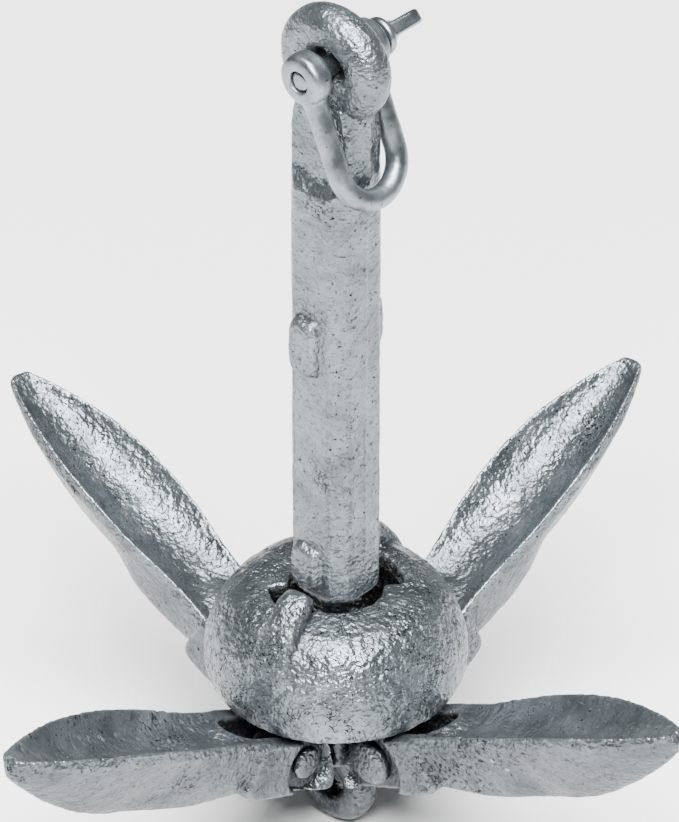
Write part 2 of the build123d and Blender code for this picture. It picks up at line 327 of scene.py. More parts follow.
def plate(outline, hole, low, high, edge):
    """Plate with a round hole at the origin, lying across Y: the section goes out along one face, over a
    rounded rim inset by edge, back along the other face and through the hole."""
    face = np.linspace(0.0, 1.0, 26)
    even = np.ones_like(face)
    turn = np.linspace(0, math.pi / 2, 6)[1:5]
    share = np.r_[face, np.ones(8), face[::-1]]
    inset = edge * np.r_[even, 1 - np.sin(turn), 1 - np.cos(turn), even]
    rise = np.r_[low * even, low + edge * (1 - np.cos(turn)), high - edge * (1 - np.sin(turn)), high * even]
    length = np.linalg.norm(outline, axis=1)
    way = outline / length[:, None]
    reach = hole + share[:, None] * (length - inset[:, None] - hole)
    flat = reach[:, :, None] * way[None]
    return np.stack([flat[..., 0], rise[:, None] + 0 * reach, flat[..., 1]], axis=-1)


def stadium(near, near_radius, far, far_radius, columns=128):
    """Outline round two circles in XZ: half of each circle, joined by straight sides."""
    angle = np.linspace(0, math.tau, columns, endpoint=False)
    is_far = (np.cos(angle) > 0)[:, None]
    centre = np.where(is_far, far, near)
    radius = np.where(is_far, far_radius, near_radius)
    ring = centre + radius * np.stack([np.cos(angle), np.sin(angle)], axis=-1)
    closed = np.r_[ring, ring[:1]]
    step = np.r_[0, np.cumsum(np.linalg.norm(np.diff(closed, axis=0), axis=1))]
    at = np.linspace(0, step[-1], columns, endpoint=False)
    return np.stack([np.interp(at, step, closed[:, 0]), np.interp(at, step, closed[:, 1])], axis=-1)


def block(centre, half, power):
    """Box with rounded corners: a superellipsoid, squarer for a smaller power."""
    up = np.linspace(-math.pi / 2, math.pi / 2, 40)[:, None]
    around = np.linspace(0, math.tau, 80, endpoint=False)[None, :]

    def curve(value):
        return np.sign(value) * np.abs(value) ** power

    x = half[0] * curve(np.cos(up)) * curve(np.cos(around))
    y = half[1] * curve(np.cos(up)) * curve(np.sin(around))
    z = half[2] * curve(np.sin(up)) + 0 * around
    return capped(np.stack([x, y, z], axis=-1) + np.array(centre))


def swept(path, side, half_side, half_up, power=1.0, columns=48):
    """Bar along a flat path: each section is a superellipse across the path's own direction and side."""
    tangent = np.gradient(path, axis=0)
    tangent /= np.linalg.norm(tangent, axis=1, keepdims=True)
    side = np.array(side, float)
    up = np.cross(tangent, side)
    angle = np.linspace(0, math.tau, columns, endpoint=False)
    across = np.sign(np.cos(angle)) * np.abs(np.cos(angle)) ** power
    over = np.sign(np.sin(angle)) * np.abs(np.sin(angle)) ** power
    grid = path[:, None, :] + (half_side[:, None] * across)[..., None] * side
    return grid + (half_up[:, None] * over)[..., None] * up[:, None, :]


def turn_about_z(points, degrees):
    """Points turned about the shank's axis."""
    angle = math.radians(degrees)
    x = points[..., 0] * math.cos(angle) - points[..., 1] * math.sin(angle)
    y = points[..., 0] * math.sin(angle) + points[..., 1] * math.cos(angle)
    return np.stack([x, y, points[..., 2]], axis=-1)


def tilt_about_y(points, degrees):
    """Points turned about Y, so that +X rises towards +Z for a positive angle."""
    angle = math.radians(degrees)
    x = points[..., 0] * math.cos(angle) - points[..., 2] * math.sin(angle)
    z = points[..., 0] * math.sin(angle) + points[..., 2] * math.cos(angle)
    return np.stack([x, points[..., 1], z], axis=-1)


def at_hinge(points, side):
    """From a fluke's own axis, drawn along +X from its pin, to its hinge on one side of the shank."""
    points = tilt_about_y(points, FLUKE_TILTS[side]) + np.array([PIN_OFFSET, 0, HINGE_Z])
    return turn_about_z(points, 90 * side)


def weld(shells, voxel, smoothing):
    """One skin round overlapping closed shells: their volume is remeshed in cubic cells, then its corners
    are eased by moving each point towards its neighbours. Gives points and normals in mm, and quads."""
    points = np.concatenate([shell[0] for shell in shells])
    starts = np.cumsum([0] + [len(shell[0]) for shell in shells[:-1]])
    faces = np.concatenate([shell[1] + start for shell, start in zip(shells, starts)])
    mesh = bpy.data.meshes.new("shells")
    mesh.from_pydata(points * MM, [], faces)
    holder = bpy.data.objects.new("shells", mesh)
    bpy.context.scene.collection.objects.link(holder)
    remesh = holder.modifiers.new("Weld", "REMESH")
    remesh.mode = "VOXEL"
    remesh.voxel_size = voxel * VOXEL_SCALE
    relax = holder.modifiers.new("Ease corners", "SMOOTH")
    relax.factor = 0.5
    relax.iterations = smoothing
    welded = bpy.data.meshes.new_from_object(holder.evaluated_get(bpy.context.evaluated_depsgraph_get()))
    count = len(welded.vertices)
    skin = np.empty(3 * count)
    normals = np.empty(3 * count)
    corners = np.empty(len(welded.loops), np.int32)
    welded.vertices.foreach_get("co", skin)
    welded.vertices.foreach_get("normal", normals)
    welded.loops.foreach_get("vertex_index", corners)
    bpy.data.objects.remove(holder)
    bpy.data.meshes.remove(welded)
    bpy.data.meshes.remove(mesh)
    return skin.reshape(-1, 3) / MM, normals.reshape(-1, 3), corners.reshape(-1, 4)


def zinc_coat(points, normals, height, seed, rough=1.0):
    """Points moved along their normals by an uneven coat: swells, lumps and grains of three sizes, less
    sunken pits where a fourth field is high."""
    swell = lattice_noise(points, 7.0, seed)
    lump = lattice_noise(points, 2.6, seed + 1)
    grain = lattice_noise(points, 1.25, seed + 2)
    pit = np.clip(lattice_noise(points, 1.9, seed + 3) - 0.52, 0, None)
    lift = height * (0.9 * swell + 0.75 * rough * lump + 0.45 * rough * grain) - 2.6 * height * rough * pit
    return points + normals * lift[:, None]


def add_piece(name, points, faces, body, nodes, material, painted_shade=None):
    """A finished piece at the origin, riding on its body and standing for its CAD nodes. Its painted shade,
    from 0 to 1 at each point, darkens gaps, hollows and undersides where shade falls, and is kept as an
    attribute for the material."""
    mesh = bpy.data.meshes.new(name)
    mesh.from_pydata(points * MM, [], faces)
    mesh.shade_smooth()
    # The per-point attribute is painted shade: it darkens the base colour where shade falls.
    if painted_shade is not None:
        mesh.attributes.new("painted_shade", "FLOAT", "POINT").data.foreach_set("value", np.clip(painted_shade, 0, 1))
    piece = bpy.data.objects.new(name, mesh)
    bpy.context.scene.collection.objects.link(piece)
    piece.data.materials.append(material)
    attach(piece, body)
    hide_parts(*nodes)


# ---------------------------------------------------------------- materials
def galvanised(name, finish, crack, patch, peel, seed):
    """Hot-dip zinc on a casting: cloudy light and dull zinc, fine crystals, dross patches with pits and
    cracks, an orange-peel skin, brighter rubbed edges, and painted shade in hollows, gaps and undersides."""
    material = bpy.data.materials.new(name)
    material.use_nodes = True
    nodes = material.node_tree.nodes
    links = material.node_tree.links
    nodes.clear()

    place = nodes.new("ShaderNodeTexCoord")
    place.label = "Place on the casting"
    shift = nodes.new("ShaderNodeMapping")
    shift.label = "Own stretch of pattern"
    warp = nodes.new("ShaderNodeTexNoise")
    warp.label = "Wander of the wrinkles"
    bend = nodes.new("ShaderNodeVectorMath")
    bend.label = "Size of the wander"

    cloud = nodes.new("ShaderNodeTexNoise")
    cloud.label = "Cloudy zinc"
    zinc = nodes.new("ShaderNodeValToRGB")
    zinc.label = "Dull to clean zinc"
    crystal = nodes.new("ShaderNodeTexVoronoi")
    crystal.label = "Zinc crystals"
    crystal_tone = nodes.new("ShaderNodeMapRange")
    crystal_tone.label = "Faint crystal tone"
    with_crystals = nodes.new("ShaderNodeMix")
    with_crystals.label = "Crystals in the zinc"

    area = nodes.new("ShaderNodeTexNoise")
    area.label = "Where dross gathers"
    area_mask = nodes.new("ShaderNodeMapRange")
    area_mask.label = "Dross patches"
    speck = nodes.new("ShaderNodeTexNoise")
    speck.label = "Ragged specks"
    speck_mask = nodes.new("ShaderNodeMapRange")
    speck_mask.label = "Specks alone"
    stray = nodes.new("ShaderNodeMapRange")
    stray.label = "Stray pits everywhere"
    stain_mask = nodes.new("ShaderNodeMath")
    stain_mask.label = "Specks in patches"
    pits = nodes.new("ShaderNodeMath")
    pits.label = "Patches and stray pits"

    cell = nodes.new("ShaderNodeTexNoise")
    cell.label = "Wrinkled skin"
    middle = nodes.new("ShaderNodeMath")
    middle.label = "Away from the middle value"
    fold = nodes.new("ShaderNodeMath")
    fold.label = "Folded into lines"
    line = nodes.new("ShaderNodeMapRange")
    line.label = "Wrinkle lines"
    crack_area = nodes.new("ShaderNodeTexNoise")
    crack_area.label = "Where the skin wrinkles"
    crack_mask = nodes.new("ShaderNodeMapRange")
    crack_mask.label = "Wrinkled areas"
    cracks = nodes.new("ShaderNodeMath")
    cracks.label = "Lines in wrinkled areas"
    dark = nodes.new("ShaderNodeMath")
    dark.label = "All dark marks"

    # Painted shade: low pointiness darkens hollows, and the per-point attribute darkens gaps and undersides,
    # both mixed towards the stain colour. High pointiness brightens rubbed edges.
    edge = nodes.new("ShaderNodeNewGeometry")
    edge.label = "Edges and hollows"
    rubbed = nodes.new("ShaderNodeMapRange")
    rubbed.label = "Rubbed edges"
    hollow = nodes.new("ShaderNodeMapRange")
    hollow.label = "Painted shade in hollows"
    painted_shade = nodes.new("ShaderNodeAttribute")
    painted_shade.label = "Painted shade in gaps and under parts"
    painted_shade_mask = nodes.new("ShaderNodeMath")
    painted_shade_mask.label = "Painted shade in hollows and gaps"
    with_painted_shade = nodes.new("ShaderNodeMix")
    with_painted_shade.label = "Zinc with painted shade"
    marked = nodes.new("ShaderNodeMix")
    marked.label = "Zinc with dark marks"
    worn = nodes.new("ShaderNodeMix")
    worn.label = "Zinc with bright edges"

    sheen_noise = nodes.new("ShaderNodeTexNoise")
    sheen_noise.label = "Uneven gloss"
    gloss = nodes.new("ShaderNodeMapRange")
    gloss.label = "Satin to dull"
    rough = nodes.new("ShaderNodeMath")
    rough.label = "Marks are duller"

    peel_noise = nodes.new("ShaderNodeTexNoise")
    peel_noise.label = "Orange peel"
    dimple = nodes.new("ShaderNodeTexNoise")
    dimple.label = "Coarse dimples"
    skin = nodes.new("ShaderNodeMath")
    skin.label = "Peel over dimples"
    cut = nodes.new("ShaderNodeMath")
    cut.label = "Marks are sunken"
    relief = nodes.new("ShaderNodeBump")
    relief.label = "Coat relief"

    surface = nodes.new("ShaderNodeBsdfPrincipled")
    surface.label = "Galvanised iron"
    result = nodes.new("ShaderNodeOutputMaterial")
    result.label = "Casting"

    frames = [
        ("Placing", [place, shift, warp, bend]),
        ("Zinc", [cloud, zinc, crystal, crystal_tone, with_crystals]),
        ("Dross", [area, area_mask, speck, speck_mask, stray, stain_mask, pits]),
        ("Wrinkles", [cell, middle, fold, line, crack_area, crack_mask, cracks, dark]),
        ("Edges, hollows and painted shade", [edge, rubbed, hollow, painted_shade, painted_shade_mask, with_painted_shade, marked, worn]),
        ("Gloss", [sheen_noise, gloss, rough]),
        ("Relief", [peel_noise, dimple, skin, cut, relief]),
        ("Result", [surface, result]),
    ]
    for column, (label, members) in enumerate(frames):
        group = nodes.new("NodeFrame")
        group.label = label
        for row, node in enumerate(members):
            node.parent = group
            node.location = (COLUMN_STEP * column, ROW_STEP * row)

    shift.inputs["Location"].default_value = (0.37 * seed, 0.11 * seed, 0.23 * seed)
    warp.inputs["Scale"].default_value = 190.0
    warp.inputs["Detail"].default_value = 3.0
    bend.operation = "MULTIPLY_ADD"
    bend.inputs[1].default_value = (0.006, 0.006, 0.006)

    cloud.inputs["Scale"].default_value = 85.0
    cloud.inputs["Detail"].default_value = 5.0
    cloud.inputs["Roughness"].default_value = 0.62
    zinc.color_ramp.elements[0].position = 0.36
    zinc.color_ramp.elements[0].color = finish.zinc_dark
    zinc.color_ramp.elements[1].position = 0.64
    zinc.color_ramp.elements[1].color = finish.zinc_light
    crystal.inputs["Scale"].default_value = 420.0
    crystal_tone.inputs["To Min"].default_value = 0.86
    crystal_tone.inputs["To Max"].default_value = 1.1
    with_crystals.data_type = "RGBA"
    with_crystals.blend_type = "MULTIPLY"
    with_crystals.inputs["Factor"].default_value = 0.7

    area.inputs["Scale"].default_value = 46.0
    area.inputs["Detail"].default_value = 3.0
    area_mask.inputs["From Min"].default_value = patch
    area_mask.inputs["From Max"].default_value = patch + 0.09
    speck.inputs["Scale"].default_value = 760.0
    speck.inputs["Detail"].default_value = 4.0
    speck.inputs["Roughness"].default_value = 0.7
    speck_mask.inputs["From Min"].default_value = 0.54
    speck_mask.inputs["From Max"].default_value = 0.565
    stray.inputs["From Min"].default_value = 0.62
    stray.inputs["From Max"].default_value = 0.64
    stain_mask.operation = "MULTIPLY"
    pits.operation = "MAXIMUM"

    cell.inputs["Scale"].default_value = 260.0
    cell.inputs["Detail"].default_value = 3.0
    cell.inputs["Roughness"].default_value = 0.6
    middle.operation = "SUBTRACT"
    middle.inputs[1].default_value = 0.5
    fold.operation = "ABSOLUTE"
    line.inputs["From Min"].default_value = 0.02
    line.inputs["From Max"].default_value = 0.011
    crack_area.inputs["Scale"].default_value = 62.0
    crack_area.inputs["Detail"].default_value = 2.0
    crack_mask.inputs["From Min"].default_value = 0.66 - 0.2 * crack
    crack_mask.inputs["From Max"].default_value = 0.76 - 0.2 * crack
    cracks.operation = "MULTIPLY"
    dark.operation = "MAXIMUM"

    rubbed.inputs["From Min"].default_value = 0.505
    rubbed.inputs["From Max"].default_value = 0.56
    rubbed.inputs["To Max"].default_value = 0.45
    # Painted shade: points of low pointiness, in hollows, are darkened.
    hollow.inputs["From Min"].default_value = 0.495
    hollow.inputs["From Max"].default_value = 0.44
    hollow.inputs["To Max"].default_value = 0.55
    painted_shade.attribute_name = "painted_shade"
    painted_shade_mask.operation = "MAXIMUM"
    with_painted_shade.data_type = "RGBA"
    with_painted_shade.inputs["B"].default_value = finish.stain_and_shade
    marked.data_type = "RGBA"
    marked.inputs["B"].default_value = finish.stain_and_shade
    worn.data_type = "RGBA"
    worn.inputs["B"].default_value = (0.36, 0.39, 0.41, 1.0)

    sheen_noise.inputs["Scale"].default_value = 130.0
    sheen_noise.inputs["Detail"].default_value = 4.0
    gloss.inputs["From Min"].default_value = 0.3
    gloss.inputs["From Max"].default_value = 0.7
    gloss.inputs["To Min"].default_value = 0.25
    gloss.inputs["To Max"].default_value = 0.42
    rough.operation = "MULTIPLY_ADD"
    rough.inputs[1].default_value = 0.35

    peel_noise.inputs["Scale"].default_value = 820.0
    peel_noise.inputs["Detail"].default_value = 1.5
    peel_noise.inputs["Roughness"].default_value = 0.5
    dimple.inputs["Scale"].default_value = 340.0
    dimple.inputs["Detail"].default_value = 2.0
    skin.operation = "MULTIPLY_ADD"
    skin.inputs[1].default_value = 1.5
    cut.operation = "MULTIPLY_ADD"
    cut.inputs[1].default_value = -0.75
    relief.inputs["Strength"].default_value = peel
    relief.inputs["Distance"].default_value = 0.0009

    surface.inputs["Metallic"].default_value = 0.87

    links.new(place.outputs["Object"], shift.inputs["Vector"])
    links.new(shift.outputs["Vector"], warp.inputs["Vector"])
    links.new(warp.outputs["Color"], bend.inputs[0])
    links.new(shift.outputs["Vector"], bend.inputs[2])
    links.new(shift.outputs["Vector"], cloud.inputs["Vector"])
    links.new(cloud.outputs["Fac"], zinc.inputs["Fac"])
    links.new(shift.outputs["Vector"], crystal.inputs["Vector"])
    links.new(crystal.outputs["Color"], crystal_tone.inputs["Value"])
    links.new(zinc.outputs["Color"], with_crystals.inputs["A"])
    links.new(crystal_tone.outputs["Result"], with_crystals.inputs["B"])
    links.new(shift.outputs["Vector"], area.inputs["Vector"])
    links.new(area.outputs["Fac"], area_mask.inputs["Value"])
    links.new(shift.outputs["Vector"], speck.inputs["Vector"])
    links.new(speck.outputs["Fac"], speck_mask.inputs["Value"])
    links.new(speck.outputs["Fac"], stray.inputs["Value"])
    links.new(area_mask.outputs["Result"], stain_mask.inputs[0])
    links.new(speck_mask.outputs["Result"], stain_mask.inputs[1])
    links.new(stain_mask.outputs["Value"], pits.inputs[0])
    links.new(stray.outputs["Result"], pits.inputs[1])
    links.new(bend.outputs["Vector"], cell.inputs["Vector"])
    links.new(cell.outputs["Fac"], middle.inputs[0])
    links.new(middle.outputs["Value"], fold.inputs[0])
    links.new(fold.outputs["Value"], line.inputs["Value"])
    links.new(shift.outputs["Vector"], crack_area.inputs["Vector"])
    links.new(crack_area.outputs["Fac"], crack_mask.inputs["Value"])
    links.new(line.outputs["Result"], cracks.inputs[0])
    links.new(crack_mask.outputs["Result"], cracks.inputs[1])
    links.new(pits.outputs["Value"], dark.inputs[0])
    links.new(cracks.outputs["Value"], dark.inputs[1])
    links.new(edge.outputs["Pointiness"], rubbed.inputs["Value"])
    links.new(edge.outputs["Pointiness"], hollow.inputs["Value"])
    links.new(with_crystals.outputs["Result"], with_painted_shade.inputs["A"])
    links.new(hollow.outputs["Result"], painted_shade_mask.inputs[0])
    links.new(painted_shade.outputs["Fac"], painted_shade_mask.inputs[1])
    links.new(painted_shade_mask.outputs["Value"], with_painted_shade.inputs["Factor"])
    links.new(with_painted_shade.outputs["Result"], worn.inputs["A"])
    links.new(rubbed.outputs["Result"], worn.inputs["Factor"])
    links.new(worn.outputs["Result"], marked.inputs["A"])
    links.new(dark.outputs["Value"], marked.inputs["Factor"])
    links.new(marked.outputs["Result"], surface.inputs["Base Color"])
    links.new(shift.outputs["Vector"], sheen_noise.inputs["Vector"])
    links.new(sheen_noise.outputs["Fac"], gloss.inputs["Value"])
    links.new(dark.outputs["Value"], rough.inputs[0])
    links.new(gloss.outputs["Result"], rough.inputs[2])
    links.new(rough.outputs["Value"], surface.inputs["Roughness"])
    links.new(shift.outputs["Vector"], peel_noise.inputs["Vector"])
    links.new(shift.outputs["Vector"], dimple.inputs["Vector"])
    links.new(dimple.outputs["Fac"], skin.inputs[0])
    links.new(peel_noise.outputs["Fac"], skin.inputs[2])
    links.new(dark.outputs["Value"], cut.inputs[0])
    links.new(skin.outputs["Value"], cut.inputs[2])
    links.new(cut.outputs["Value"], relief.inputs["Height"])
    links.new(relief.outputs["Normal"], surface.inputs["Normal"])
    links.new(surface.outputs["BSDF"], result.inputs["Surface"])
    return material


def plated_steel(name, finish, rough_low, rough_high, seed):
    """Smooth zinc on forged steel: soft clouds, a faint ripple and small dull spots."""
    material = bpy.data.materials.new(name)
    material.use_nodes = True
    nodes = material.node_tree.nodes
    links = material.node_tree.links
    nodes.clear()

    place = nodes.new("ShaderNodeTexCoord")
    place.label = "Place on the steel"
    shift = nodes.new("ShaderNodeMapping")
    shift.label = "Own stretch of pattern"
    cloud = nodes.new("ShaderNodeTexNoise")
    cloud.label = "Cloudy plating"
    tone = nodes.new("ShaderNodeValToRGB")
    tone.label = "Dull to bright plating"
    spot = nodes.new("ShaderNodeTexNoise")
    spot.label = "Dull spots"
    spot_mask = nodes.new("ShaderNodeMapRange")
    spot_mask.label = "Spots alone"
    spotted = nodes.new("ShaderNodeMix")
    spotted.label = "Plating with spots"
    # Painted shade: points of low pointiness, in hollows, are darkened towards the stain colour.
    edge = nodes.new("ShaderNodeNewGeometry")
    edge.label = "Hollows"
    hollow = nodes.new("ShaderNodeMapRange")
    hollow.label = "Painted shade in hollows"
    with_painted_shade = nodes.new("ShaderNodeMix")
    with_painted_shade.label = "Plating with painted shade in its hollows"
    gloss = nodes.new("ShaderNodeMapRange")
    gloss.label = "Bright to satin"
    ripple = nodes.new("ShaderNodeTexNoise")
    ripple.label = "Faint ripple"
    relief = nodes.new("ShaderNodeBump")
    relief.label = "Plating relief"
    surface = nodes.new("ShaderNodeBsdfPrincipled")
    surface.label = "Zinc-plated steel"
    result = nodes.new("ShaderNodeOutputMaterial")
    result.label = "Forging"

    frames = [
        ("Placing", [place, shift]),
        ("Plating", [cloud, tone, spot, spot_mask, spotted]),
        ("Edges, hollows and painted shade", [edge, hollow, with_painted_shade]),
        ("Relief and gloss", [gloss, ripple, relief]),
        ("Result", [surface, result]),
    ]
    for column, (label, members) in enumerate(frames):
        group = nodes.new("NodeFrame")
        group.label = label
        for row, node in enumerate(members):
            node.parent = group
            node.location = (COLUMN_STEP * column, ROW_STEP * row)

    shift.inputs["Location"].default_value = (0.41 * seed, 0.19 * seed, 0.07 * seed)
    cloud.inputs["Scale"].default_value = 160.0
    cloud.inputs["Detail"].default_value = 4.0
    tone.color_ramp.elements[0].position = 0.3
    tone.color_ramp.elements[0].color = [0.55 * value for value in finish.plated[:3]] + [1.0]
    tone.color_ramp.elements[1].position = 0.6
    tone.color_ramp.elements[1].color = finish.plated
    spot.inputs["Scale"].default_value = 700.0
    spot.inputs["Detail"].default_value = 3.0
    spot_mask.inputs["From Min"].default_value = 0.66
    spot_mask.inputs["From Max"].default_value = 0.74
    spot_mask.inputs["To Max"].default_value = 0.8
    spotted.data_type = "RGBA"
    spotted.inputs["B"].default_value = finish.stain_and_shade
    hollow.inputs["From Min"].default_value = 0.49
    hollow.inputs["From Max"].default_value = 0.42
    hollow.inputs["To Max"].default_value = 0.6
    with_painted_shade.data_type = "RGBA"
    with_painted_shade.inputs["B"].default_value = finish.stain_and_shade
    gloss.inputs["From Min"].default_value = 0.3
    gloss.inputs["From Max"].default_value = 0.7
    gloss.inputs["To Min"].default_value = rough_low
    gloss.inputs["To Max"].default_value = rough_high
    ripple.inputs["Scale"].default_value = 420.0
    ripple.inputs["Detail"].default_value = 2.0
    relief.inputs["Strength"].default_value = 0.16
    relief.inputs["Distance"].default_value = 0.0004
    surface.inputs["Metallic"].default_value = 0.92

    links.new(place.outputs["Object"], shift.inputs["Vector"])
    links.new(shift.outputs["Vector"], cloud.inputs["Vector"])
    links.new(cloud.outputs["Fac"], tone.inputs["Fac"])
    links.new(shift.outputs["Vector"], spot.inputs["Vector"])
    links.new(spot.outputs["Fac"], spot_mask.inputs["Value"])
    links.new(tone.outputs["Color"], spotted.inputs["A"])
    links.new(spot_mask.outputs["Result"], spotted.inputs["Factor"])
    links.new(edge.outputs["Pointiness"], hollow.inputs["Value"])
    links.new(spotted.outputs["Result"], with_painted_shade.inputs["A"])
    links.new(hollow.outputs["Result"], with_painted_shade.inputs["Factor"])
    links.new(with_painted_shade.outputs["Result"], surface.inputs["Base Color"])
    links.new(cloud.outputs["Fac"], gloss.inputs["Value"])
    links.new(gloss.outputs["Result"], surface.inputs["Roughness"])
    links.new(shift.outputs["Vector"], ripple.inputs["Vector"])
    links.new(ripple.outputs["Fac"], relief.inputs["Height"])
    links.new(relief.outputs["Normal"], surface.inputs["Normal"])
    links.new(surface.outputs["BSDF"], result.inputs["Surface"])
    return material


# ---------------------------------------------------------------- shank
def bar_shell():
    """Octagonal bar: a rounded polygon carried up Z, chamfered at its foot, drawn in under the eye, and
    cut back on its Y flats inside a circle round the eye."""
    height = np.linspace(HINGE_Z + BAR_FOOT, -9.5, 420)[:, None]
    angle = np.linspace(0, math.tau, 160, endpoint=False)[None, :]
    facing = np.arange(8) * math.pi / 4
    reach = np.array([BAR_REACH["x"], BAR_REACH["slant"], BAR_REACH["y"], BAR_REACH["slant"]] * 2)
    radius = soft_polygon(angle + 0 * height, facing, reach)
    foot = 1 - 0.11 * (1 - ease(0, 1.6, height - HINGE_Z - BAR_FOOT))
    crown = 1 - 0.16 * ease(-20.0, -10.0, height)
    x = radius * np.cos(angle) * foot * crown
    y = radius * np.sin(angle) * foot
    past_cheek = ease(CHEEK_RADIUS - 3.0, CHEEK_RADIUS + 6.0, np.hypot(x, height))
    limit = CHEEK_HALF + (12 - CHEEK_HALF) * past_cheek
    y = np.clip(y, -limit, limit)
    return capped(np.stack([x, y, height + 0 * angle], axis=-1))


def neck_shell():
    """Square block that flares into the round neck: a rounded eight-sided section whose flats and slants
    have their own reach at each height."""
    rows = np.array(NECK_ROWS)
    height = np.linspace(rows[0, 0], rows[-1, 0], 180)
    flat = np.interp(height, rows[:, 0], rows[:, 1])[:, None]
    slant = np.interp(height, rows[:, 0], rows[:, 2])[:, None]
    angle = np.linspace(0, math.tau, 128, endpoint=False)[None, :]
    reach = np.concatenate([flat, slant] * 4, axis=1)[:, None, :]
    radius = soft_polygon(angle + 0 * flat, np.arange(8) * math.pi / 4, reach)
    up = height[:, None] + HINGE_Z + 0 * angle
    return capped(np.stack([radius * np.cos(angle), radius * np.sin(angle), up], axis=-1))


def rib_shell(way):
    """Round-ended rib down the bar's edge under the eye, in line with the ring's wire."""
    up = np.linspace(0, 1, 60)[:, None]
    around = np.linspace(0, math.tau, 64, endpoint=False)[None, :]
    end = np.sqrt(1 - np.clip(1 - up / 0.16, 0, 1) ** 2)
    x = way * (EYE_RING_X - 5.0) + (5.0 + 0.2 * up) * end * np.cos(around)
    y = 5.9 * end * np.sin(around)
    return capped(np.stack([x, y, -38.0 + 36.0 * up + 0 * around], axis=-1))


def tongue_shell(side):
    """Tongue between a fluke's prongs: a plate with a round end and a pin hole."""
    outline = stadium((6.0 - PIN_OFFSET, 0.0), TONGUE_END, (0.0, 0.0), TONGUE_END)
    grid = plate(outline, TONGUE_HOLE, -TONGUE_HALF, TONGUE_HALF, 0.9)
    points = turn_about_z(grid + np.array([PIN_OFFSET, 0, HINGE_Z]), 90 * side)
    return looped(points)


def shank_shells():
    """All the overlapping shells of the shank casting."""
    shells = [bar_shell(), neck_shell(), torus(0.0, EYE_RING_X, EYE_RING_Z, EYE_WIRE)]
    shells.append(torus(HINGE_Z - TRIP_DROP, TRIP_RING, TRIP_RING, TRIP_WIRE))
    shells.append(block((0, 0, HINGE_Z - 10.5), (8.6, 4.4, 4.6), 0.4))
    shells += [rib_shell(way) for way in (1, -1)]
    shells += [tongue_shell(side) for side in range(4)]
    half_width, half_depth, end = LUG_SIZE
    for (low, high), depth in zip(LUG_ROWS, LUG_DEPTHS):
        for way in (1, -1):
            centre = (way * LUG_OFFSET, way * depth, HINGE_Z + (low + high) / 2)
            shells.append(block(centre, (half_width, half_depth, (high - low) / 2 + end), 0.45))
    return shells


def build_shank(shape, finish):
    """Shank casting with its parting line along both X flats."""
    points, normals, faces = weld(shank_shells(), SHANK_DETAIL * shape.casting_voxel, 4)
    points = zinc_coat(points, normals, shape.lumpiness / MM, 11)
    foot = HINGE_Z + BAR_FOOT
    on_bar = ease(foot + 2, foot + 6, points[:, 2]) * ease(-12.0, -18.0, points[:, 2])
    seam = on_bar * np.exp(-((points[:, 1] - SEAM_OFFSET) / SEAM_WIDTH) ** 2) * (np.abs(points[:, 0]) > 8)
    seam *= 0.75 + 0.5 * lattice_noise(points, 5.0, 17)
    points = points + normals * (SEAM_HEIGHT * seam)[:, None]
    material = galvanised("galvanised_shank", finish, crack=0.25, patch=0.59, peel=0.55, seed=1)
    # Painted shade: darkened are the bar's foot inside the collar's hole, everything below 6 mm above the
    # hinge at half strength, the inside of the eye, the tongues' ends in the fork slots and the inner side of
    # the tripping eye.
    height = points[:, 2] - HINGE_Z
    reach = np.hypot(points[:, 0], points[:, 1])
    painted_shade = 0.97 * ease(BAR_FOOT + 0.4, BAR_FOOT - 0.6, height) * ease(-3.0, 1.0, height)
    painted_shade = np.maximum(painted_shade, 0.45 * ease(6.0, -6.0, height))
    eye_reach = np.hypot(points[:, 0], points[:, 2])
    painted_shade = np.maximum(painted_shade, 0.5 * ease(7.0, 5.0, eye_reach) * (np.abs(points[:, 1]) < 5))
    on_tongue = ease(12.2, 13.5, reach) * ease(-7.6, -6.6, height) * ease(8.6, 7.6, height)
    painted_shade = np.maximum(painted_shade, 0.9 * on_tongue)
    trip_reach = np.hypot(points[:, 0], height + TRIP_DROP)
    painted_shade = np.maximum(painted_shade, 0.95 * ease(TRIP_RING - 1.2, TRIP_RING - 3.0, trip_reach))
    add_piece("shank_casting", points, faces, "shank", ["shank"], material, painted_shade)


# ---------------------------------------------------------------- collar
def bell_shell():
    """Bell of the collar: a closed profile carried round Z, whose hole is wider inside two notches."""
    angle = np.linspace(-math.pi, math.pi, 420, endpoint=False)
    hole = np.full_like(angle, HOLE_RADIUS)
    for centre in (NOTCH_CENTRE, NOTCH_CENTRE + 180):
        away = np.abs((np.degrees(angle) - centre + 180) % 360 - 180)
        notch = 1 - ease(NOTCH_HALF - 3, NOTCH_HALF + 4, away)
        hole = np.maximum(hole, HOLE_RADIUS + (NOTCH_RADIUS - HOLE_RADIUS) * notch)
    outside = smooth_path(BELL_OUTSIDE, 90)
    inside = smooth_path(BELL_INSIDE, 70)
    share = np.linspace(0, 1, 26)[1:, None]
    top_radius = BELL_OUTSIDE[-1][0] + share * (hole - BELL_OUTSIDE[-1][0])
    top_height = BELL_OUTSIDE[-1][1] + (BELL_TOP - BELL_OUTSIDE[-1][1]) * ease(0, 0.6, share) + 0 * hole
    wall_height = np.linspace(BELL_TOP, BELL_UNDER, 8)[1:-1, None] + 0 * hole
    wall_radius = hole + 0 * wall_height
    under_radius = BELL_INSIDE[0][0] + share[::-1] * (hole - BELL_INSIDE[0][0])
    under_height = BELL_UNDER + 0 * under_radius
    outer_radius, outer_height = outside.T[:, :, None] + 0 * angle
    inner_radius, inner_height = inside.T[:, :, None] + 0 * angle
    radius = np.concatenate([outer_radius, top_radius, wall_radius, under_radius, inner_radius])
    height = np.concatenate([outer_height, top_height, wall_height, under_height, inner_height])
    grid = np.stack([radius * np.cos(angle), radius * np.sin(angle), height + HINGE_Z], axis=-1)
    return looped(grid)


